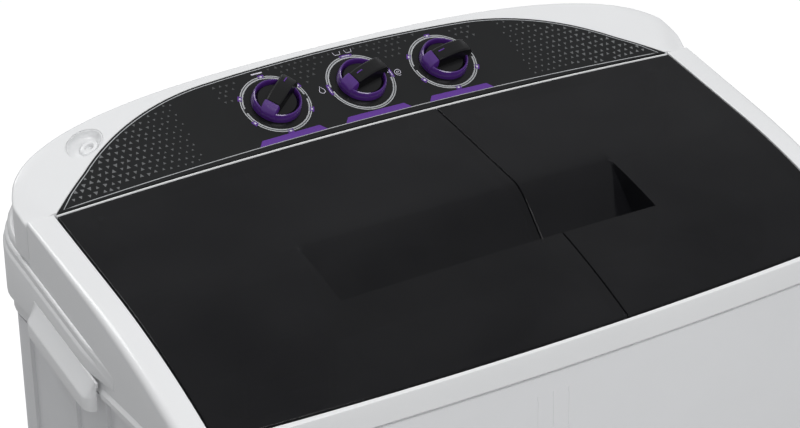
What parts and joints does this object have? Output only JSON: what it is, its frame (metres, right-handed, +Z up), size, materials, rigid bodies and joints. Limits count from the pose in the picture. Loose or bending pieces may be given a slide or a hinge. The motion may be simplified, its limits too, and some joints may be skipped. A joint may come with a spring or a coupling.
{
  "type": "twin tub washing machine",
  "caption": "Top-load twin-tub washing machine: wash tub and spin tub under smoked hinged lids with a finger scoop, sloping arched console with rotary knobs, side handles.",
  "frame": {"origin": "on the floor under the middle of the whole machine", "axes": "+Z up, -Y towards the user, +X to the user's right"},
  "size_m": [0.792, 0.426, 0.9157],
  "materials": {
    "white_abs": "gloss",
    "body_pp": "satin",
    "fascia_black": "gloss",
    "smoked_plastic": "gloss",
    "knob_purple": "gloss",
    "knob_black": "satin",
    "tub_pp": "satin",
    "pulsator_blue": "gloss",
    "grey_plastic": "satin",
    "black_rubber": "matte",
    "zinc_steel": "satin",
    "cast_alu": "cast",
    "motor_steel": "satin",
    "pulley_grey": "satin",
    "filter_lilac": "satin"
  },
  "bodies": {
    "cabinet": {"base_pan": "body_pp", "rubber_feet": "black_rubber", "cabinet_shell": "body_pp", "back_cover": "grey_plastic", "back_cover_screws": "zinc_steel", "top_frame": "white_abs", "handle_left": "white_abs", "handle_right": "white_abs", "console_housing": "white_abs", "control_fascia": "fascia_black", "inlet_fitting": "white_abs", "fill_pipe": "grey_plastic", "wash_tub": "tub_pp", "spin_tub": "tub_pp", "hinge_brackets": "grey_plastic", "wash_timer": "grey_plastic", "program_selector": "grey_plastic", "spin_timer": "grey_plastic", "drain_box": "grey_plastic", "drain_outlet": "grey_plastic", "spin_drain_pipe": "grey_plastic", "wash_drain_pipe": "grey_plastic", "wash_gearbox": "cast_alu", "drive_plate": "zinc_steel", "wash_motor": "motor_steel", "spin_motor": "motor_steel", "spin_motor_plate": "zinc_steel", "spin_motor_springs": "black_rubber", "capacitor": "grey_plastic", "terminal_box": "grey_plastic", "cord_gland": "black_rubber", "filter_bracket": "tub_pp", "overflow_cover": "tub_pp", "spin_shaft_seal": "black_rubber", "drive_belt": "black_rubber", "brake_bracket": "zinc_steel"},
    "wash_lid_body": {"wash_lid": "smoked_plastic"},
    "spin_lid_body": {"spin_lid": "smoked_plastic"},
    "wash_timer_knob": {"wash_knob_skirt": "knob_purple", "wash_knob_grip": "knob_black"},
    "selector_knob": {"selector_knob_skirt": "knob_purple", "selector_knob_grip": "knob_black"},
    "spin_timer_knob": {"spin_knob_skirt": "knob_purple", "spin_knob_grip": "knob_black"},
    "pulsator_unit": {"pulsator": "pulsator_blue", "pulsator_cap": "filter_lilac"},
    "gearbox_input": {"gearbox_pulley": "pulley_grey"},
    "motor_rotor": {"motor_pulley": "pulley_grey"},
    "spin_rotor": {"spin_basket": "tub_pp", "balance_ring": "tub_pp", "spin_shaft": "zinc_steel"},
    "spin_cover_body": {"spin_cover": "tub_pp"},
    "lint_filter_body": {"lint_filter": "filter_lilac"},
    "drain_valve": {"drain_plunger": "pulley_grey"},
    "brake_arm": {"brake_lever": "zinc_steel"}
  },
  "joints": [
    {"name": "wash_lid_hinge", "type": "hinge", "parent": "cabinet", "child": "wash_lid_body", "pos_m": [0, 0.088, 0.8478], "axis": [-1, 0, 0], "range_deg": [0, 100]},
    {"name": "spin_lid_hinge", "type": "hinge", "parent": "cabinet", "child": "spin_lid_body", "pos_m": [0, 0.088, 0.8478], "axis": [-1, 0, 0], "range_deg": [0, 100]},
    {"name": "wash_timer_turn", "type": "hinge", "parent": "cabinet", "child": "wash_timer_knob", "pos_m": [-0.089, 0.15899, 0.88863], "axis": [0, -0.4617, 0.887], "range_deg": [-225, 50]},
    {"name": "selector_turn", "type": "hinge", "parent": "cabinet", "child": "selector_knob", "pos_m": [0.008, 0.15899, 0.88863], "axis": [0, -0.4617, 0.887], "range_deg": [0, 140]},
    {"name": "spin_timer_turn", "type": "hinge", "parent": "cabinet", "child": "spin_timer_knob", "pos_m": [0.105, 0.15899, 0.88863], "axis": [0, -0.4617, 0.887], "range_deg": [-230, 70]},
    {"name": "pulsator_spin", "type": "hinge", "parent": "cabinet", "child": "pulsator_unit", "pos_m": [-0.142, -0.045, 0.343], "axis": [0, 0, 1], "continuous": true},
    {"name": "gearbox_input_spin", "type": "hinge", "parent": "cabinet", "child": "gearbox_input", "pos_m": [-0.142, -0.045, 0.229], "axis": [0, 0, 1], "continuous": true},
    {"name": "motor_spin", "type": "hinge", "parent": "cabinet", "child": "motor_rotor", "pos_m": [-0.27, 0.017, 0.229], "axis": [0, 0, 1], "continuous": true},
    {"name": "basket_spin", "type": "hinge", "parent": "cabinet", "child": "spin_rotor", "pos_m": [0.212, -0.045, 0.352], "axis": [0, 0, 1], "continuous": true},
    {"name": "spin_cover_lift", "type": "slide", "parent": "spin_rotor", "child": "spin_cover_body", "axis": [0, 0, 1], "range_m": [0, 0.09]},
    {"name": "lint_filter_lift", "type": "slide", "parent": "cabinet", "child": "lint_filter_body", "axis": [0, 0, 1], "range_m": [0, 0.12]},
    {"name": "drain_valve_lift", "type": "slide", "parent": "cabinet", "child": "drain_valve", "axis": [0, 0, 1], "range_m": [0, 0.012]},
    {"name": "brake_swing", "type": "hinge", "parent": "cabinet", "child": "brake_arm", "pos_m": [0.15, -0.095, 0.229], "axis": [0, 0, 1], "range_deg": [-3.3, 0]}
  ],
  "couplings": [
    {"joint": "gearbox_input_spin", "follows": "pulsator_spin", "ratio": 3},
    {"joint": "motor_spin", "follows": "pulsator_spin", "ratio": 12},
    {"joint": "drain_valve_lift", "follows": "selector_turn", "m_per_rad": 0.0048},
    {"joint": "brake_swing", "follows": "spin_lid_hinge", "ratio": -0.032}
  ]
}
